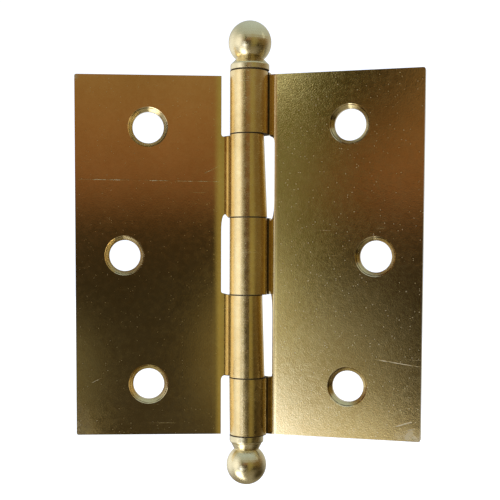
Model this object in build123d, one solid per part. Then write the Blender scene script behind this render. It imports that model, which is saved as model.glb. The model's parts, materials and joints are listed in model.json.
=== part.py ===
from build123d import *
import math
import os

# Steel butt hinge with five knuckles, a ball-headed pin and a ball plug. Millimetres, +Z along the pin.
# The origin is on the pin axis, half way up the leaves. The jamb leaf runs out along +X and its
# countersunk face looks to -Y. The door leaf runs out towards -X, swung REST_FOLD towards -Y.

# Leaves
LEAF_HEIGHT = 76.2
LEAF_REACH = 36.5
SHEET = 1.8
LEAF_SET_BACK = 1.2
CORNER_RADIUS = 0.4
DOOR_LEAF_DROP = 0.2
REST_FOLD = 18.8

# Barrel and swaged bend
BARREL_RADIUS = 4.0
BORE_RADIUS = 2.2
JAMB_BEND_RADIUS = 2.5
DOOR_BEND_RADIUS = 10.0
BEND_ANGLE = 11.5
TOP_KNUCKLE_RISE = 0.5
CURL_END_OUTER_ANGLE = 17.5
CURL_END_INNER_ANGLE = 46.0
SEAMS = (25.5, 8.1, -8.2, -25.8)
SEAM_GAP = 0.12
DOOR_NOTCH_EDGE = 5.7
JAMB_UPPER_NOTCH_EDGE = 5.3
JAMB_LOWER_NOTCH_EDGE = 5.0
NOTCH_OVERRUN = 7.0

# Screw holes
HOLE_RADIUS = 3.3
COUNTERSINK_RADIUS = 4.2
HOLE_SPACING = 54.5
INNER_COLUMN = 21.2
JAMB_OUTER_COLUMN = 26.8
DOOR_OUTER_COLUMN = 26.2

# Pin and its ball head
PIN_RADIUS = 2.15
PIN_LOWER_END = -34.0
PIN_TIP_CHAMFER = 0.5
HEAD_CLEARANCE = 0.05
HEAD_OFFSET = 0.2
HEAD_COLLAR_RADIUS = 4.1
HEAD_COLLAR_HEIGHT = 1.4
HEAD_NECK_RADIUS = 2.9
HEAD_BALL_RADIUS = 4.5
HEAD_BALL_RISE = 5.93

# Ball plug pressed into the lowest knuckle
PLUG_SPIGOT_RADIUS = 2.2
PLUG_SPIGOT_LENGTH = 3.5
PLUG_OFFSET = -0.25
PLUG_COLLAR_RADIUS = 3.65
PLUG_COLLAR_HEIGHT = 1.6
PLUG_NECK_RADIUS = 2.6
PLUG_BALL_RADIUS = 4.27
PLUG_BALL_RISE = 6.6

# Edges of the turned collars, and the turned-off point on each ball
COLLAR_ROUND = 0.3
COLLAR_FOOT = 0.2
NIB_RADIUS = 0.55
NIB_HEIGHT = 0.12

HALF_HEIGHT = LEAF_HEIGHT / 2


def polar(radius, degrees):
    angle = math.radians(degrees)
    return (radius * math.cos(angle), radius * math.sin(angle))


def rolled_sheet(z_low, z_high, bend_radius):
    """Sheet with its inner edge swaged back and curled round the pin, run along +X."""
    middle = LEAF_SET_BACK + SHEET / 2
    curl = (BARREL_RADIUS + BORE_RADIUS) / 2
    tilt = math.radians(BEND_ANGLE)
    fold_x = (curl - middle * math.cos(tilt)) / math.sin(tilt)
    bend_x = fold_x + bend_radius * math.tan(tilt / 2)
    bend_y = middle + bend_radius
    join = 90 - BEND_ANGLE

    def bend_point(radius, degrees):
        x, y = polar(radius, 90 - degrees)
        return (bend_x - x, bend_y - y)

    front = LEAF_SET_BACK
    back = LEAF_SET_BACK + SHEET
    front_bend = bend_radius + SHEET / 2
    back_bend = bend_radius - SHEET / 2
    front_fold = bend_point(front_bend, BEND_ANGLE)
    back_fold = bend_point(back_bend, BEND_ANGLE)
    bore_join = polar(BORE_RADIUS, join)
    bore_end = polar(BORE_RADIUS, CURL_END_INNER_ANGLE)
    skin_end = polar(BARREL_RADIUS, CURL_END_OUTER_ANGLE)
    skin_join = polar(BARREL_RADIUS, join)
    inner_mid = polar(BORE_RADIUS, (join + CURL_END_INNER_ANGLE) / 2 + 180)
    outer_mid = polar(BARREL_RADIUS, (join + CURL_END_OUTER_ANGLE) / 2 + 180)
    with BuildSketch() as profile:
        with BuildLine():
            Line((LEAF_REACH, front), (bend_x, front))
            ThreePointArc((bend_x, front), bend_point(front_bend, BEND_ANGLE / 2), front_fold)
            Line(front_fold, bore_join)
            ThreePointArc(bore_join, inner_mid, bore_end)
            Line(bore_end, skin_end)
            ThreePointArc(skin_end, outer_mid, skin_join)
            Line(skin_join, back_fold)
            ThreePointArc(back_fold, bend_point(back_bend, BEND_ANGLE / 2), (bend_x, back))
            Line((bend_x, back), (LEAF_REACH, back))
            Line((LEAF_REACH, back), (LEAF_REACH, front))
        make_face()
    return Pos(0, 0, z_low) * extrude(profile.sketch, z_high - z_low)


def notch(z_low, z_high, edge, low_corner, high_corner):
    """Cut that frees the other leaf's knuckle. A corner is (overrun past the seam, width, height)."""
    inner = BARREL_RADIUS + 0.2

    def ends(z_end, side, corner):
        overrun, width, height = corner
        level = z_end + side * overrun
        start = (edge - width, level)
        return (inner, z_end), start, (edge, level), (edge, level - side * height)

    low = ends(z_low, -1, low_corner)
    high = ends(z_high, 1, high_corner)
    with BuildSketch(Plane.XZ) as outline:
        with BuildLine():
            Line((-NOTCH_OVERRUN, z_low), low[0])
            Line(low[0], low[1])
            Bezier(low[1], low[2], low[3])
            Line(low[3], high[3])
            Bezier(high[3], high[2], high[1])
            Line(high[1], high[0])
            Line(high[0], (-NOTCH_OVERRUN, z_high))
            Line((-NOTCH_OVERRUN, z_high), (-NOTCH_OVERRUN, z_low))
        make_face()
    return extrude(outline.sketch, NOTCH_OVERRUN, both=True)


def open_end_notch(z_seam, side, corner):
    """The same cut at the top or bottom of a leaf, where it runs out past the leaf's end."""
    overrun, width, height = corner
    inner = BARREL_RADIUS + 0.2
    edge = DOOR_NOTCH_EDGE
    level = z_seam - side * overrun
    far = side * (HALF_HEIGHT + NOTCH_OVERRUN)
    with BuildSketch(Plane.XZ) as outline:
        with BuildLine():
            Line((-NOTCH_OVERRUN, z_seam), (inner, z_seam))
            Line((inner, z_seam), (edge - width, level))
            Bezier((edge - width, level), (edge, level), (edge, level + side * height))
            Line((edge, level + side * height), (edge, far))
            Line((edge, far), (-NOTCH_OVERRUN, far))
            Line((-NOTCH_OVERRUN, far), (-NOTCH_OVERRUN, z_seam))
        make_face()
    return extrude(outline.sketch, NOTCH_OVERRUN, both=True)


def far_half(z, reach):
    """Half ring on the side of the barrel away from the leaf, squeezed to the given reach."""
    with BuildSketch(Plane.XY.offset(z)) as half:
        with BuildLine():
            EllipticalCenterArc((0, 0), reach, BARREL_RADIUS, start_angle=90, arc_size=180)
            Line((0, -BARREL_RADIUS), (0, -BORE_RADIUS))
            ThreePointArc((0, -BORE_RADIUS), (-BORE_RADIUS, 0), (0, BORE_RADIUS))
            Line((0, BORE_RADIUS), (0, BARREL_RADIUS))
        make_face()
    return half.sketch


def squeeze_knuckle(leaf, z_low, z_high, reach_low, reach_high):
    """Rolls one knuckle tighter on its far side, by a different amount at each end."""
    height = z_high - z_low
    swept = Pos(-NOTCH_OVERRUN / 2, 0, (z_low + z_high) / 2) * Box(NOTCH_OVERRUN, 2 * NOTCH_OVERRUN, height)
    shell = loft([far_half(z_low, reach_low), far_half(z_high, reach_high)], ruled=True)
    return leaf - swept + shell


def screw_hole(x, z):
    """Through hole with a shallow countersink on the front face."""
    depth = COUNTERSINK_RADIUS - HOLE_RADIUS
    through = Cylinder(HOLE_RADIUS, 4 * SHEET)
    mouth = Cone(HOLE_RADIUS, COUNTERSINK_RADIUS, depth, align=(Align.CENTER, Align.CENTER, Align.MAX))
    lead = Cylinder(COUNTERSINK_RADIUS, SHEET, align=(Align.CENTER, Align.CENTER, Align.MIN))
    return Pos(x, LEAF_SET_BACK, z) * Rot(90, 0, 0) * (through + mouth + lead)


def leaf_blank(z_low, z_high, bend_radius, outer_column):
    blank = rolled_sheet(z_low, z_high, bend_radius)
    corners = blank.edges().filter_by(Axis.Y).group_by(Axis.X)[-1]
    blank = fillet(corners, CORNER_RADIUS)
    middle = (z_low + z_high) / 2
    for side in (-1, 1):
        blank = blank - screw_hole(INNER_COLUMN, middle + side * HOLE_SPACING / 2)
    return blank - screw_hole(outer_column, 0)


def top_knuckle_rise():
    """The top knuckle stands a little above the leaf's upper edge."""
    level = HALF_HEIGHT + TOP_KNUCKLE_RISE / 2
    around = Pos(0, 0, level) * Box(2 * BARREL_RADIUS, 2 * BARREL_RADIUS, TOP_KNUCKLE_RISE)
    return rolled_sheet(HALF_HEIGHT, HALF_HEIGHT + TOP_KNUCKLE_RISE, JAMB_BEND_RADIUS) & around


def jamb_leaf():
    """Leaf with three knuckles: top, middle and bottom."""
    half = SEAM_GAP / 2
    leaf = leaf_blank(-HALF_HEIGHT, HALF_HEIGHT, JAMB_BEND_RADIUS, JAMB_OUTER_COLUMN) + top_knuckle_rise()
    upper = (SEAMS[1] - half, SEAMS[0] + half, JAMB_UPPER_NOTCH_EDGE)
    lower = (SEAMS[3] - half, SEAMS[2] + half, JAMB_LOWER_NOTCH_EDGE)
    leaf = leaf - notch(*upper, (0.5, 0.9, 4.8), (-0.4, 0.9, 1.6))
    leaf = leaf - notch(*lower, (-0.1, 0.3, 0.5), (0.7, 0.7, 5.5))
    return squeeze_knuckle(leaf, -HALF_HEIGHT, SEAMS[3] - half, 3.85, 4.0)


def door_leaf():
    """Leaf with two knuckles, between those of the other leaf, set at its rest angle."""
    half = SEAM_GAP / 2
    top = HALF_HEIGHT - DOOR_LEAF_DROP
    bottom = -HALF_HEIGHT - DOOR_LEAF_DROP
    leaf = leaf_blank(bottom, top, DOOR_BEND_RADIUS, DOOR_OUTER_COLUMN)
    leaf = leaf - open_end_notch(SEAMS[0] - half, 1, (0.2, 0.5, 0.6))
    middle = (SEAMS[2] - half, SEAMS[1] + half, DOOR_NOTCH_EDGE)
    leaf = leaf - notch(*middle, (-0.3, 0.4, 0.6), (0.7, 0.9, 3.6))
    leaf = leaf - open_end_notch(SEAMS[3] + half, -1, (0.1, 0.8, 1.2))
    leaf = squeeze_knuckle(leaf, SEAMS[1] + half, SEAMS[0] - half, 4.0, 3.25)
    leaf = squeeze_knuckle(leaf, SEAMS[3] + half, SEAMS[2] - half, 3.6, 3.05)
    return Rot(0, 0, REST_FOLD) * mirror(leaf, about=Plane.YZ)


def shank(radius, length):
    """Rod hanging below Z = 0 with a chamfered end."""
    rod = Cylinder(radius, length, align=(Align.CENTER, Align.CENTER, Align.MAX))
    return chamfer(rod.edges().group_by(Axis.Z)[0], PIN_TIP_CHAMFER)


def ball_tip(collar, collar_height, neck, ball_radius, ball_rise):
    """Turned tip. Its collar sits on Z = 0 and the ball stands above it."""
    neck_angle = math.asin(neck / ball_radius)
    neck_z = ball_rise - ball_radius * math.cos(neck_angle)
    nib_z = ball_rise + math.sqrt(ball_radius ** 2 - NIB_RADIUS ** 2)
    nib_top = ball_rise + ball_radius + NIB_HEIGHT
    shoulder = (collar, collar_height - COLLAR_ROUND)
    shoulder_end = (collar - COLLAR_ROUND, collar_height + COLLAR_ROUND / 2)
    with BuildSketch(Plane.XZ) as half:
        with BuildLine():
            Line((0, 0), (collar - COLLAR_FOOT, 0))
            Line((collar - COLLAR_FOOT, 0), (collar, COLLAR_FOOT))
            Line((collar, COLLAR_FOOT), shoulder)
            Bezier(shoulder, (collar, collar_height), shoulder_end)
            Line(shoulder_end, (neck, neck_z))
            ThreePointArc((neck, neck_z), (ball_radius, ball_rise), (NIB_RADIUS, nib_z))
            Line((NIB_RADIUS, nib_z), (0, nib_top))
            Line((0, nib_top), (0, 0))
        make_face()
    return revolve(half.sketch, Axis.Z, 360)


def hinge_pin():
    """Pin with its ball head, standing on the top knuckle."""
    seat = HALF_HEIGHT + TOP_KNUCKLE_RISE + HEAD_CLEARANCE
    sizes = (HEAD_COLLAR_RADIUS, HEAD_COLLAR_HEIGHT, HEAD_NECK_RADIUS, HEAD_BALL_RADIUS, HEAD_BALL_RISE)
    head = Pos(HEAD_OFFSET, 0, 0) * ball_tip(*sizes)
    return Pos(0, 0, seat) * (shank(PIN_RADIUS, seat - PIN_LOWER_END) + head)


def bottom_ball_plug():
    """Ball plug, its spigot pressed up into the lowest knuckle."""
    sizes = (PLUG_COLLAR_RADIUS, PLUG_COLLAR_HEIGHT, PLUG_NECK_RADIUS, PLUG_BALL_RADIUS, PLUG_BALL_RISE)
    plug = shank(PLUG_SPIGOT_RADIUS, PLUG_SPIGOT_LENGTH) + Pos(PLUG_OFFSET, 0, 0) * ball_tip(*sizes)
    return Pos(0, 0, -HALF_HEIGHT) * Rot(180, 0, 0) * plug


os.makedirs("parts", exist_ok=True)
PIECES = {
    "jamb_leaf": jamb_leaf(),
    "door_leaf": door_leaf(),
    "hinge_pin": hinge_pin(),
    "bottom_ball_plug": bottom_ball_plug(),
}
for name, shape in PIECES.items():
    export_step(shape, f"parts/{name}.step")
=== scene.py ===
import bpy
import json
import math
from mathutils import Matrix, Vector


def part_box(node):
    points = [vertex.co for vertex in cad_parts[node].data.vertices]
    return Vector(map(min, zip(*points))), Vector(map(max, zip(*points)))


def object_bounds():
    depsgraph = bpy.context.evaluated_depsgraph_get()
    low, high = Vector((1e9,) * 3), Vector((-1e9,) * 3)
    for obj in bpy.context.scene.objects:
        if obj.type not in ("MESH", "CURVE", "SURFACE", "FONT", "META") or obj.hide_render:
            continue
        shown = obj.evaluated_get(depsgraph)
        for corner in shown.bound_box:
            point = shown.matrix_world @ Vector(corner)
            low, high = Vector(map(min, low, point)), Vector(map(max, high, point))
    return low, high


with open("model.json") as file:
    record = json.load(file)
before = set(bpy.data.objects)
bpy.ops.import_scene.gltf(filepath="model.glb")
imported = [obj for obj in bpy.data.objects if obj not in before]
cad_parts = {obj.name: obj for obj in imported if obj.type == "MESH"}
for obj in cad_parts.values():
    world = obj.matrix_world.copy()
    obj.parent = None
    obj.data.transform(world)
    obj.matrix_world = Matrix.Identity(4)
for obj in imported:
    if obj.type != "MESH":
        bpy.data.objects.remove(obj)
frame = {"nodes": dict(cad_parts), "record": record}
CAD_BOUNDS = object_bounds()
MOUNTS = {mount["name"]: mount for mount in frame["record"]["mounts"]}
MM = 0.001

# Camera, in metres and radians in the shared frame, and its lens in millimetres
CAMERA_POSITION = (0.0540, -0.1941, 0.0005)
CAMERA_YAW = 0.2693
CAMERA_PITCH = -0.0594
CAMERA_ROLL = 0.0038
CAMERA_LENS = 68.23
CAMERA_SENSOR = 36.0
CAMERA_SHIFT_UP = 0.12

# Studio: white all round for the picture, and a soft dome of room tones that only the plating mirrors.
FLOOR_DROP = 0.26
FLOOR_SIZE = 6.0
STUDIO_LIGHT = (1.08, 1.13, 1.25)
DOME_RADIUS = 0.9
# Room tones by height above the hinge, in metres up the dome.
ROOM_TONES = [
    (-0.90, (0.34, 0.32, 0.26)),
    (-0.55, (0.26, 0.23, 0.16)),
    (-0.30, (0.07, 0.06, 0.04)),
    (-0.04, (0.035, 0.028, 0.017)),
    (0.03, (0.05, 0.034, 0.018)),
    (0.08, (0.21, 0.10, 0.045)),
    (0.15, (0.27, 0.145, 0.062)),
    (0.25, (0.30, 0.21, 0.095)),
    (0.42, (0.46, 0.50, 0.48)),
    (0.90, (0.52, 0.64, 0.74)),
]
# Soft patches over those tones: centre and reach, each as (azimuth in degrees, height in metres), and
# colour. A patch is full strength out to PATCH_CORE of its reach. Azimuth jumps to -180 at BEHIND.
PATCH_CORE = 0.25
BEHIND = 180.0
ROOM_PATCHES = [
    ((BEHIND, 0.0), (95.0, 0.6), (0.55, 0.55, 0.52)),
    ((80.0, -0.02), (62.0, 0.46), (0.17, 0.12, 0.04)),
    ((42.0, 0.0), (23.0, 0.55), (0.30, 0.26, 0.10)),
    ((75.0, -0.24), (42.0, 0.20), (0.04, 0.03, 0.015)),
    ((62.0, -0.20), (12.0, 0.16), (0.008, 0.006, 0.004)),
    ((112.0, -0.60), (60.0, 0.34), (0.05, 0.04, 0.02)),
    ((98.0, 0.45), (7.0, 0.20), (1.1, 1.2, 1.2)),
    ((-6.5, 0.26), (8.0, 0.18), (0.03, 0.025, 0.012)),
    ((-10.0, 0.21), (4.0, 0.20), (0.045, 0.04, 0.018)),
    ((-14.0, 0.08), (5.0, 0.70), (0.18, 0.18, 0.08)),
    ((-14.8, 0.25), (2.6, 0.11), (1.30, 1.45, 1.20)),
    ((30.0, 0.0), (9.0, 0.80), (0.32, 0.27, 0.10)),
    ((8.5, -0.14), (3.6, 0.10), (0.14, 0.13, 0.08)),
    ((8.5, -0.24), (3.0, 0.07), (0.60, 0.58, 0.46)),
    ((20.5, -0.12), (3.6, 0.12), (0.16, 0.13, 0.06)),
    ((-16.5, -0.15), (5.8, 0.26), (0.72, 0.75, 0.58)),
    ((-10.0, -0.31), (9.0, 0.34), (0.48, 0.48, 0.38)),
    ((-8.0, -0.30), (13.0, 0.135), (1.1, 1.1, 1.0)),
    ((-17.5, -0.32), (9.5, 0.25), (2.3, 2.6, 3.6)),
    ((-96.0, 0.0), (70.0, 0.85), (1.05, 1.10, 1.20)),
    ((-46.0, 0.0), (32.0, 0.70), (1.30, 1.36, 1.50)),
    ((-40.0, -0.70), (36.0, 0.32), (3.8, 3.9, 4.1)),
]

# Brass: plated sheet from its deep to its pale clouds, turned pieces likewise, and the marks on them
BRASS_DEEP = (0.78, 0.60, 0.29)
BRASS_PALE = (0.91, 0.73, 0.39)
TURNED_DEEP = (0.74, 0.62, 0.36)
TURNED_PALE = (0.88, 0.76, 0.47)
# Pale raw brass where the plating is rubbed through, also used as a painted highlight along the edges
BRASS_RAW_AND_HIGHLIGHT = (0.95, 0.88, 0.70)
# Dark brown for real pits and the line round the countersink rims, and painted shade in the knuckle joints,
# the crevice beside the barrel and the seats of the turned pieces
GRIME_AND_SHADE = (0.07, 0.04, 0.02)
DISH_TONE = (0.74, 0.60, 0.31)
CLOUD_SPAN = (0.32, 0.68)

# Roughness, as (low, high) where it varies
LEAF_POLISH = {"door": (0.06, 0.12), "jamb": (0.07, 0.13)}
BARREL_POLISH = (0.20, 0.29)
TURNED_POLISH = (0.20, 0.32)
DISH_ROUGHNESS = 0.20
WEAR_ROUGHNESS = 0.55
# Roughness where painted shade lies in the joints and seats
SHADED_JOINT_ROUGHNESS = 0.65

# Depth of the grain as bump strength, the height that one stands for, and the rounding of sharp edges
GRAIN_DEPTH = {"door": 0.045, "jamb": 0.09}
BARREL_GRAIN_DEPTH = 0.16
TURNED_GRAIN_DEPTH = 0.28
GRAIN_HEIGHT = 0.0001
EDGE_ROUNDING = 0.00012
# Reach of the paler edges, which are partly worn plating and partly a painted highlight
EDGE_WEAR_AND_HIGHLIGHT_REACH = 0.0003

# Texture scales, in features to the metre
CLOUD_SCALE = 55.0
MOTTLE_SCALE = 620.0
FINE_SCALE = 900.0
GRAIN_SCALE = 2400.0
HAIR_STRETCH = (70.0, 70.0, 3400.0)
RING_STRETCH = (60.0, 60.0, 3200.0)
# Directions of the hairline scratches, as (turn in degrees, shift)
HAIR_LAYS = ((18.0, 0.3), (-33.0, 1.7), (74.0, 2.9))

# Places on the barrel and leaves, in metres from the pin axis and up from mid height. The barrel's
# finish ends at BARREL_REACH and has faded into the leaf's BARREL_FADE further out.
BARREL_REACH = 0.00425
BARREL_FADE = 0.00025
KNUCKLE_JOINTS = (0.0255, 0.0081, -0.0082, -0.0258)
# Painted shade round the joints between the knuckles: its reach either side of each joint
JOINT_SHADE = 0.00018
# Painted shade where each turned piece sits on its knuckle: its reach
SEAT_SHADE = 0.0003
# Painted shade line where each leaf's face meets the barrel: out from the axis, and through the sheet
CREVICE = (0.00400, 0.00125)
CREVICE_REACH = {"door": 0.00026, "jamb": 0.00033}
# Where each leaf starts to dish towards its barrel, where the slope is full, and that slope.
DISHING = {"door": (0.0077, 0.0050, 0.11), "jamb": (0.0061, 0.0054, 0.07)}
DISHING_STOP = 0.0043
# Countersinks: reach from the hole's centre, depth of their floor, and the dark line round the rim
DISH_REACH = 0.00424
DISH_FLOOR = 0.0022
DISH_FADE = 0.0001
LIP_INSET = 0.00008
LIP_WIDTH = 0.00012

# Marks worn into each leaf, in millimetres out from the pin axis and up from mid height: start, end, width.
SCRATCHES = {
    "door": [
        ((4.5, 15.7), (36.4, 16.0), 0.09),
        ((6.2, 19.0), (9.4, 17.4), 0.07),
        ((31.0, -26.0), (33.4, -27.2), 0.06),
    ],
    "jamb": [
        ((26.2, -21.2), (36.4, -22.6), 0.09),
        ((30.6, -35.4), (34.8, -34.0), 0.16),
        ((31.4, -36.6), (35.4, -35.4), 0.12),
    ],
}
# Scuffed areas, in the same millimetres: centre, reach.
SCUFFS = {
    "door": [((36.2, -36.8), (3.6, 7.0)), ((36.4, 37.6), (1.2, 1.4))],
    "jamb": [((35.4, -37.0), (5.6, 2.0))],
}


# ---------------------------------------------------------------- node helpers

def new_material(name):
    material = bpy.data.materials.new(name)
    material.use_nodes = True
    tree = material.node_tree
    tree.nodes.clear()
    return material, tree


def node(tree, kind, **values):
    made = tree.nodes.new(kind)
    for key, value in values.items():
        setattr(made, key, value)
    return made


def feed(tree, socket, value):
    """Links a socket, or sets it when the value is a plain number or tuple."""
    if isinstance(value, (int, float)):
        socket.default_value = value
    elif isinstance(value, tuple):
        socket.default_value = (*value, 1.0) if len(socket.default_value) == 4 else value
    else:
        tree.links.new(value, socket)


def maths(tree, operation, first, second=None):
    made = node(tree, "ShaderNodeMath", operation=operation)
    feed(tree, made.inputs[0], first)
    if second is not None:
        feed(tree, made.inputs[1], second)
    return made.outputs["Value"]


def mix(tree, factor, first, second, blend="MIX"):
    made = node(tree, "ShaderNodeMix", data_type="RGBA", blend_type=blend)
    feed(tree, made.inputs["Factor"], factor)
    feed(tree, made.inputs[6], first)
    feed(tree, made.inputs[7], second)
    return made.outputs[2]


def blend_value(tree, factor, first, second):
    made = node(tree, "ShaderNodeMix", data_type="FLOAT")
    feed(tree, made.inputs["Factor"], factor)
    feed(tree, made.inputs[2], first)
    feed(tree, made.inputs[3], second)
    return made.outputs[0]


def remap(tree, value, start, end, low=0.0, high=1.0, smooth=True):
    made = node(tree, "ShaderNodeMapRange", interpolation_type="SMOOTHSTEP" if smooth else "LINEAR")
    feed(tree, made.inputs["Value"], value)
    made.inputs["From Min"].default_value = start
    made.inputs["From Max"].default_value = end
    made.inputs["To Min"].default_value = low
    made.inputs["To Max"].default_value = high
    return made.outputs["Result"]


def ramp(tree, source, stops):
    made = node(tree, "ShaderNodeValToRGB")
    elements = made.color_ramp.elements
    while len(elements) < len(stops):
        elements.new(0.5)
    for element, (position, colour) in zip(elements, stops):
        element.position = position
        element.color = (*colour, 1.0)
    feed(tree, made.inputs["Fac"], source)
    return made.outputs["Color"]


def noise(tree, place, scale, detail=3.0, stretch=None, turn=0.0, seed=0.0, warp=0.0):
    """Noise over the given place, optionally stretched and turned about the leaf's face."""
    if stretch is not None:
        fit = node(tree, "ShaderNodeMapping")
        feed(tree, fit.inputs["Vector"], place)
        fit.inputs["Location"].default_value = (seed, 0.0, seed)
        fit.inputs["Rotation"].default_value = (0.0, math.radians(turn), 0.0)
        fit.inputs["Scale"].default_value = stretch
        place = fit.outputs["Vector"]
    made = node(tree, "ShaderNodeTexNoise")
    feed(tree, made.inputs["Vector"], place)
    made.inputs["Scale"].default_value = scale
    made.inputs["Detail"].default_value = detail
    made.inputs["Distortion"].default_value = warp
    return made.outputs["Fac"]


def most(tree, values):
    """The largest of several masks."""
    total = values[0]
    for value in values[1:]:
        total = maths(tree, "MAXIMUM", total, value)
    return total


def span(tree, across, along):
    """Length of a flat offset."""
    return maths(tree, "SQRT", maths(tree, "ADD", maths(tree, "MULTIPLY", across, across),
                                     maths(tree, "MULTIPLY", along, along)))


# ---------------------------------------------------------------- masks

def worn_and_highlit_edge(tree, place):
    """One along sharp edges, broken up by noise: partly worn plating, partly a painted highlight."""
    soft = node(tree, "ShaderNodeBevel", samples=4)
    soft.inputs["Radius"].default_value = EDGE_WEAR_AND_HIGHLIGHT_REACH
    geometry = node(tree, "ShaderNodeNewGeometry")
    facing = node(tree, "ShaderNodeVectorMath", operation="DOT_PRODUCT")
    feed(tree, facing.inputs[0], soft.outputs["Normal"])
    feed(tree, facing.inputs[1], geometry.outputs["Normal"])
    edge = remap(tree, facing.outputs["Value"], 0.985, 0.90)
    patchy = remap(tree, noise(tree, place, 420.0), 0.35, 0.6, 0.35, 1.0)
    return maths(tree, "MULTIPLY", edge, patchy)


def specks(tree, place, scale, size, share):
    """Small scattered dots: size is a share of their spacing, and share is how many show."""
    cells = node(tree, "ShaderNodeTexVoronoi", feature="F1")
    feed(tree, cells.inputs["Vector"], place)
    cells.inputs["Scale"].default_value = scale
    dot = remap(tree, cells.outputs["Distance"], size, size * 0.5)
    pick = node(tree, "ShaderNodeSeparateColor")
    feed(tree, pick.inputs["Color"], cells.outputs["Color"])
    chosen = maths(tree, "LESS_THAN", pick.outputs["Red"], share)
    return maths(tree, "MULTIPLY", dot, chosen)


def scratch(tree, out, up, ragged, start, end, width):
    """A thin line on the leaf's face, fading in and out along its length."""
    across = (end[0] - start[0]) * MM
    rise = (end[1] - start[1]) * MM
    length = math.hypot(across, rise)
    along = maths(tree, "ADD",
                  maths(tree, "MULTIPLY", maths(tree, "SUBTRACT", out, start[0] * MM), across / length),
                  maths(tree, "MULTIPLY", maths(tree, "SUBTRACT", up, start[1] * MM), rise / length))
    off = maths(tree, "SUBTRACT",
                maths(tree, "MULTIPLY", maths(tree, "SUBTRACT", up, start[1] * MM), across / length),
                maths(tree, "MULTIPLY", maths(tree, "SUBTRACT", out, start[0] * MM), rise / length))
    line = remap(tree, maths(tree, "ABSOLUTE", off), width * MM, 0.3 * width * MM)
    middle = maths(tree, "ABSOLUTE", maths(tree, "SUBTRACT", along, length / 2))
    ends = remap(tree, middle, length / 2, 0.42 * length)
    return maths(tree, "MULTIPLY", maths(tree, "MULTIPLY", line, ends), ragged)


def scuff(tree, out, up, ragged, centre, reach):
    """A faint rubbed patch."""
    across = maths(tree, "DIVIDE", maths(tree, "SUBTRACT", out, centre[0] * MM), reach[0] * MM)
    along = maths(tree, "DIVIDE", maths(tree, "SUBTRACT", up, centre[1] * MM), reach[1] * MM)
    area = remap(tree, span(tree, across, along), 1.0, 0.2)
    return maths(tree, "MULTIPLY", maths(tree, "MULTIPLY", area, ragged), 0.5)


def near_levels(tree, up, levels, reach):
    """One close to any of the given levels."""
    return most(tree, [
        remap(tree, maths(tree, "ABSOLUTE", maths(tree, "SUBTRACT", up, level)), reach, 0.5 * reach)
        for level in levels
    ])


def hole_centres(leaf):
    """Centres of a leaf's three screw holes, from the record."""
    pair = MOUNTS[leaf + "_screw_pair"]
    spacing = pair["dims"].get("spacing_y_mm") or pair["dims"]["pcd_mm"]
    x, y, z = pair["pos_m"]
    half = spacing * MM / 2
    return [(x, y, z - half), (x, y, z + half), tuple(MOUNTS[leaf + "_middle_screw"]["pos_m"])]


def dishes(tree, place, deep, centres):
    """Masks of the countersinks, and of the thin dark line round their rims."""
    distances = []
    for centre in centres:
        apart = node(tree, "ShaderNodeVectorMath", operation="DISTANCE")
        feed(tree, apart.inputs[0], place)
        feed(tree, apart.inputs[1], centre)
        distances.append(apart.outputs["Value"])
    nearest = distances[0]
    for distance in distances[1:]:
        nearest = maths(tree, "MINIMUM", nearest, distance)
    front = remap(tree, deep, DISH_FLOOR, DISH_FLOOR - DISH_FADE)
    dish = remap(tree, nearest, DISH_REACH, DISH_REACH - DISH_FADE)
    lip = near_levels(tree, nearest, [DISH_REACH - LIP_INSET], LIP_WIDTH)
    return maths(tree, "MULTIPLY", dish, front), maths(tree, "MULTIPLY", lip, front)


# ---------------------------------------------------------------- brass

def leaf_place(tree, leaf, place):
    """Coordinates with X out along the leaf and Y through its thickness."""
    axis = MOUNTS[leaf + "_middle_screw"]["axis"]
    fold = math.atan2(axis[0], -axis[1])
    turn = node(tree, "ShaderNodeVectorRotate", rotation_type="Z_AXIS")
    feed(tree, turn.inputs["Vector"], place)
    turn.inputs["Angle"].default_value = -fold
    split = node(tree, "ShaderNodeSeparateXYZ")
    feed(tree, split.inputs["Vector"], turn.outputs["Vector"])
    side = 1.0 if MOUNTS[leaf + "_middle_screw"]["pos_m"][0] > 0 else -1.0
    out = maths(tree, "MULTIPLY", split.outputs["X"], side)
    return out, split.outputs["Y"], split.outputs["Z"]


def dished_normal(tree, out, start, full, slope):
    """Tilts the face towards the barrel over the last few millimetres, where the sheet was rolled."""
    reach = start - full
    depth = maths(tree, "SUBTRACT", start, maths(tree, "MAXIMUM", out, DISHING_STOP))
    depth = maths(tree, "MAXIMUM", depth, 0.0)
    curved = maths(tree, "MINIMUM", depth, reach)
    curved = maths(tree, "MULTIPLY", maths(tree, "MULTIPLY", curved, curved), 0.5 / reach)
    straight = maths(tree, "MAXIMUM", maths(tree, "SUBTRACT", depth, reach), 0.0)
    bump = node(tree, "ShaderNodeBump")
    bump.inputs["Strength"].default_value = 1.0
    bump.inputs["Distance"].default_value = 1.0
    feed(tree, bump.inputs["Height"], maths(tree, "MULTIPLY", maths(tree, "ADD", curved, straight), -slope))
    return bump.outputs["Normal"]


def brass_shader(tree):
    shader = node(tree, "ShaderNodeBsdfPrincipled")
    shader.inputs["Metallic"].default_value = 1.0
    feed(tree, node(tree, "ShaderNodeOutputMaterial").inputs["Surface"], shader.outputs["BSDF"])
    return shader


def grained(tree, shader, height, depth):
    """Feeds a height to the shader as bump, and returns the node for a normal to start from."""
    bump = node(tree, "ShaderNodeBump")
    feed(tree, bump.inputs["Strength"], depth)
    bump.inputs["Distance"].default_value = GRAIN_HEIGHT
    feed(tree, bump.inputs["Height"], height)
    feed(tree, shader.inputs["Normal"], bump.outputs["Normal"])
    return bump


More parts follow.
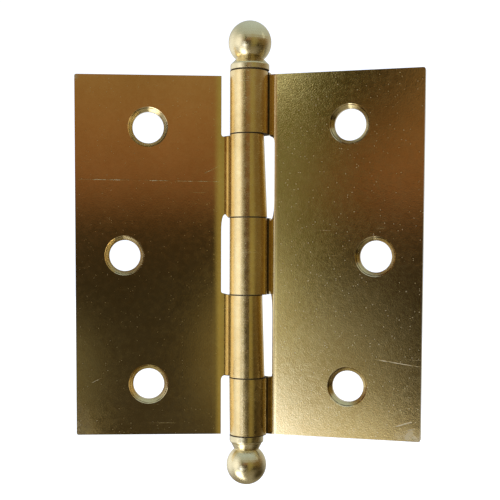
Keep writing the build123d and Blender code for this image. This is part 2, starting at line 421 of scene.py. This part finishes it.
def plate_joint_shade(tree, leaf, out, deep, up, barrel):
    """Painted shade in the joints between the knuckles, and along the crevice beside the barrel."""
    bottom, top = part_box("jamb_leaf")
    joints = list(KNUCKLE_JOINTS) + [bottom[2], top[2]]
    joint_shade = maths(tree, "MULTIPLY", near_levels(tree, up, joints, JOINT_SHADE), barrel)
    crevice = span(tree, maths(tree, "SUBTRACT", out, CREVICE[0]), maths(tree, "SUBTRACT", deep, CREVICE[1]))
    reach = CREVICE_REACH[leaf]
    return maths(tree, "MAXIMUM", joint_shade, remap(tree, crevice, reach, 0.4 * reach))


def plate_wear(tree, leaf, place, out, up, ragged):
    """Scratches, scuffs, dust and hairlines on a leaf, where the plating is rubbed."""
    gaps = remap(tree, noise(tree, place, 170.0, 2.0), 0.40, 0.50, 0.15, 1.0)
    broken = maths(tree, "MULTIPLY", ragged, gaps)
    marks = [scratch(tree, out, up, broken, *line) for line in SCRATCHES[leaf]]
    marks += [scuff(tree, out, up, ragged, *area) for area in SCUFFS[leaf]]
    marks.append(maths(tree, "MULTIPLY", specks(tree, place, 2200.0, 0.24, 0.12), 0.5))
    marks.append(maths(tree, "MULTIPLY", specks(tree, place, 700.0, 0.06, 0.07), 0.5))
    zone = remap(tree, noise(tree, place, 95.0, 2.0), 0.48, 0.62)
    for turn, shift in HAIR_LAYS:
        hair = noise(tree, place, 1.0, 2.0, stretch=HAIR_STRETCH, turn=turn, seed=shift)
        marks.append(maths(tree, "MULTIPLY", remap(tree, hair, 0.72, 0.80, 0.0, 0.5), zone))
    return most(tree, marks)


def plate_material(name, leaf):
    """Brass plating on one leaf and its knuckles."""
    material, tree = new_material(name)
    shader = brass_shader(tree)
    place = node(tree, "ShaderNodeTexCoord").outputs["Object"]
    out, deep, up = leaf_place(tree, leaf, place)

    cloud = noise(tree, place, CLOUD_SCALE, 5.0)
    mottle = noise(tree, place, MOTTLE_SCALE, 6.0, warp=0.8)
    fine = noise(tree, place, FINE_SCALE, 4.0)
    grain = noise(tree, place, GRAIN_SCALE, 3.0, warp=1.5)
    ragged = remap(tree, noise(tree, place, 700.0, 4.0), 0.38, 0.62, 0.3, 1.0)

    barrel = remap(tree, span(tree, out, deep), BARREL_REACH + BARREL_FADE, BARREL_REACH)
    dish, lip = dishes(tree, place, deep, hole_centres(leaf))
    joint_shade = plate_joint_shade(tree, leaf, out, deep, up, barrel)
    edge = worn_and_highlit_edge(tree, place)
    wear = plate_wear(tree, leaf, place, out, up, ragged)

    tone = ramp(tree, cloud, [(CLOUD_SPAN[0], BRASS_DEEP), (CLOUD_SPAN[1], BRASS_PALE)])
    tone = mix(tree, remap(tree, grain, 0.35, 0.65, 0.16, 0.0), tone, BRASS_DEEP, "MULTIPLY")
    tone = mix(tree, remap(tree, mottle, 0.38, 0.60, 0.13, 0.0), tone, BRASS_DEEP, "MULTIPLY")
    tone = mix(tree, dish, tone, DISH_TONE)
    tone = mix(tree, maths(tree, "MULTIPLY", lip, ragged), tone, GRIME_AND_SHADE)
    tone = mix(tree, maths(tree, "MULTIPLY", wear, 0.6), tone, BRASS_RAW_AND_HIGHLIGHT)
    # Paler edges: partly worn plating, partly a painted highlight
    tone = mix(tree, maths(tree, "MULTIPLY", edge, 0.7), tone, BRASS_RAW_AND_HIGHLIGHT)
    # Painted shade in the knuckle joints and in the crevice beside the barrel
    tone = mix(tree, maths(tree, "MULTIPLY", joint_shade, 0.92), tone, GRIME_AND_SHADE)
    feed(tree, shader.inputs["Base Color"], tone)

    rough = remap(tree, fine, 0.3, 0.7, *LEAF_POLISH[leaf])
    rough = blend_value(tree, barrel, rough, remap(tree, fine, 0.3, 0.7, *BARREL_POLISH))
    rough = blend_value(tree, dish, rough, DISH_ROUGHNESS)
    rough = blend_value(tree, wear, rough, WEAR_ROUGHNESS)
    rough = blend_value(tree, joint_shade, rough, SHADED_JOINT_ROUGHNESS)
    feed(tree, shader.inputs["Roughness"], rough)

    height = maths(tree, "ADD", grain, maths(tree, "MULTIPLY", fine, blend_value(tree, barrel, 0.25, 0.9)))
    height = maths(tree, "SUBTRACT", height, maths(tree, "MULTIPLY", wear, 1.2))
    depth = blend_value(tree, barrel, GRAIN_DEPTH[leaf], BARREL_GRAIN_DEPTH)
    bump = grained(tree, shader, height, depth)
    feed(tree, bump.inputs["Normal"], dished_normal(tree, out, *DISHING[leaf]))
    return material


def turned_material(name, seat):
    """Turned brass with fine rings round the axis, and painted shade where it sits on its knuckle."""
    material, tree = new_material(name)
    shader = brass_shader(tree)
    place = node(tree, "ShaderNodeTexCoord").outputs["Object"]
    split = node(tree, "ShaderNodeSeparateXYZ")
    feed(tree, split.inputs["Vector"], place)

    cloud = noise(tree, place, 180.0, 4.0)
    fine = noise(tree, place, 1500.0, 4.0)
    rings = noise(tree, place, 1.0, 2.0, stretch=RING_STRETCH)
    pits = specks(tree, place, 900.0, 0.16, 0.08)
    seat_shade = near_levels(tree, split.outputs["Z"], [seat], SEAT_SHADE)

    tone = ramp(tree, cloud, [(CLOUD_SPAN[0], TURNED_DEEP), (CLOUD_SPAN[1], TURNED_PALE)])
    tone = mix(tree, maths(tree, "MULTIPLY", pits, 0.5), tone, GRIME_AND_SHADE)
    # Paler edges: partly worn brass, partly a painted highlight
    tone = mix(tree, maths(tree, "MULTIPLY", worn_and_highlit_edge(tree, place), 0.5), tone, BRASS_RAW_AND_HIGHLIGHT)
    # Painted shade at the seat on the knuckle
    tone = mix(tree, maths(tree, "MULTIPLY", seat_shade, 0.92), tone, GRIME_AND_SHADE)
    feed(tree, shader.inputs["Base Color"], tone)
    rough = remap(tree, fine, 0.3, 0.7, *TURNED_POLISH)
    feed(tree, shader.inputs["Roughness"], blend_value(tree, seat_shade, rough, SHADED_JOINT_ROUGHNESS))

    height = maths(tree, "ADD", rings, maths(tree, "MULTIPLY", fine, 0.6))
    grained(tree, shader, height, TURNED_GRAIN_DEPTH)
    return material


def dress(name, material):
    """Gives a node its material and slightly rounded edges."""
    obj = frame["nodes"][name]
    obj.data.materials.clear()
    obj.data.materials.append(material)
    rounding = obj.modifiers.new("worn edges", "BEVEL")
    rounding.width = EDGE_ROUNDING
    rounding.segments = 2
    rounding.limit_method = "ANGLE"
    rounding.angle_limit = math.radians(40)


# ---------------------------------------------------------------- studio

def room_dome():
    """Dome of room tones. Azimuth is in degrees from -Y towards +X, height in metres."""
    bpy.ops.mesh.primitive_uv_sphere_add(segments=64, ring_count=32, radius=DOME_RADIUS)
    dome = bpy.context.object
    dome.name = "room dome"
    material, tree = new_material("room tones")
    glow = node(tree, "ShaderNodeEmission")
    feed(tree, node(tree, "ShaderNodeOutputMaterial").inputs["Surface"], glow.outputs["Emission"])
    axes = node(tree, "ShaderNodeSeparateXYZ")
    feed(tree, axes.inputs["Vector"], node(tree, "ShaderNodeTexCoord").outputs["Object"])
    facing = maths(tree, "MULTIPLY", axes.outputs["Y"], -1.0)
    azimuth = maths(tree, "DEGREES", maths(tree, "ARCTAN2", axes.outputs["X"], facing))
    height = axes.outputs["Z"]
    level = remap(tree, height, -DOME_RADIUS, DOME_RADIUS, smooth=False)
    stops = [((up + DOME_RADIUS) / (2 * DOME_RADIUS), colour) for up, colour in ROOM_TONES]
    colour = ramp(tree, level, stops)
    for centre, reach, tone in ROOM_PATCHES:
        bearing = maths(tree, "ABSOLUTE", azimuth) if centre[0] == BEHIND else azimuth
        offset = maths(tree, "SUBTRACT", bearing, centre[0])
        across = maths(tree, "DIVIDE", offset, reach[0])
        along = maths(tree, "DIVIDE", maths(tree, "SUBTRACT", height, centre[1]), reach[1])
        colour = mix(tree, remap(tree, span(tree, across, along), 1.0, PATCH_CORE), colour, tone)
    feed(tree, glow.inputs["Color"], colour)
    dome.data.materials.append(material)
    dome.visible_camera = False
    dome.visible_diffuse = False
    dome.visible_shadow = False


def white_world():
    world = bpy.data.worlds.new("white studio")
    bpy.context.scene.world = world
    world.use_nodes = True
    background = world.node_tree.nodes["Background"]
    background.inputs["Color"].default_value = (*STUDIO_LIGHT, 1.0)
    background.inputs["Strength"].default_value = 1.0


def pale_floor():
    bpy.ops.mesh.primitive_plane_add(size=2 * FLOOR_SIZE)
    floor = bpy.context.object
    floor.name = "floor"
    floor.location.z = CAD_BOUNDS[0][2] - FLOOR_DROP
    material, tree = new_material("pale floor")
    shader = node(tree, "ShaderNodeBsdfPrincipled")
    feed(tree, node(tree, "ShaderNodeOutputMaterial").inputs["Surface"], shader.outputs["BSDF"])
    shader.inputs["Base Color"].default_value = (0.9, 0.9, 0.9, 1.0)
    shader.inputs["Roughness"].default_value = 1.0
    shader.inputs["Emission Color"].default_value = (1.0, 1.0, 1.0, 1.0)
    shader.inputs["Emission Strength"].default_value = 0.25
    floor.data.materials.append(material)
    floor.visible_glossy = False


def camera():
    data = bpy.data.cameras.new("camera")
    data.lens = CAMERA_LENS
    data.sensor_width = CAMERA_SENSOR
    data.shift_y = CAMERA_SHIFT_UP
    data.clip_start = 0.01
    obj = bpy.data.objects.new("camera", data)
    bpy.context.scene.collection.objects.link(obj)
    turn = (
        Matrix.Rotation(CAMERA_YAW, 4, "Z")
        @ Matrix.Rotation(math.pi / 2 + CAMERA_PITCH, 4, "X")
        @ Matrix.Rotation(CAMERA_ROLL, 4, "Z")
    )
    obj.matrix_world = Matrix.Translation(CAMERA_POSITION) @ turn
    bpy.context.scene.camera = obj


white_world()
pale_floor()
room_dome()

dress("door_leaf", plate_material("bright brass plate", "door"))
dress("jamb_leaf", plate_material("brushed brass plate", "jamb"))
dress("hinge_pin", turned_material("turned brass head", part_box("jamb_leaf")[1][2]))
dress("bottom_ball_plug", turned_material("turned brass plug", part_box("jamb_leaf")[0][2]))

camera()
view = bpy.context.scene.view_settings
view.view_transform = "Standard"
view.look = "None"
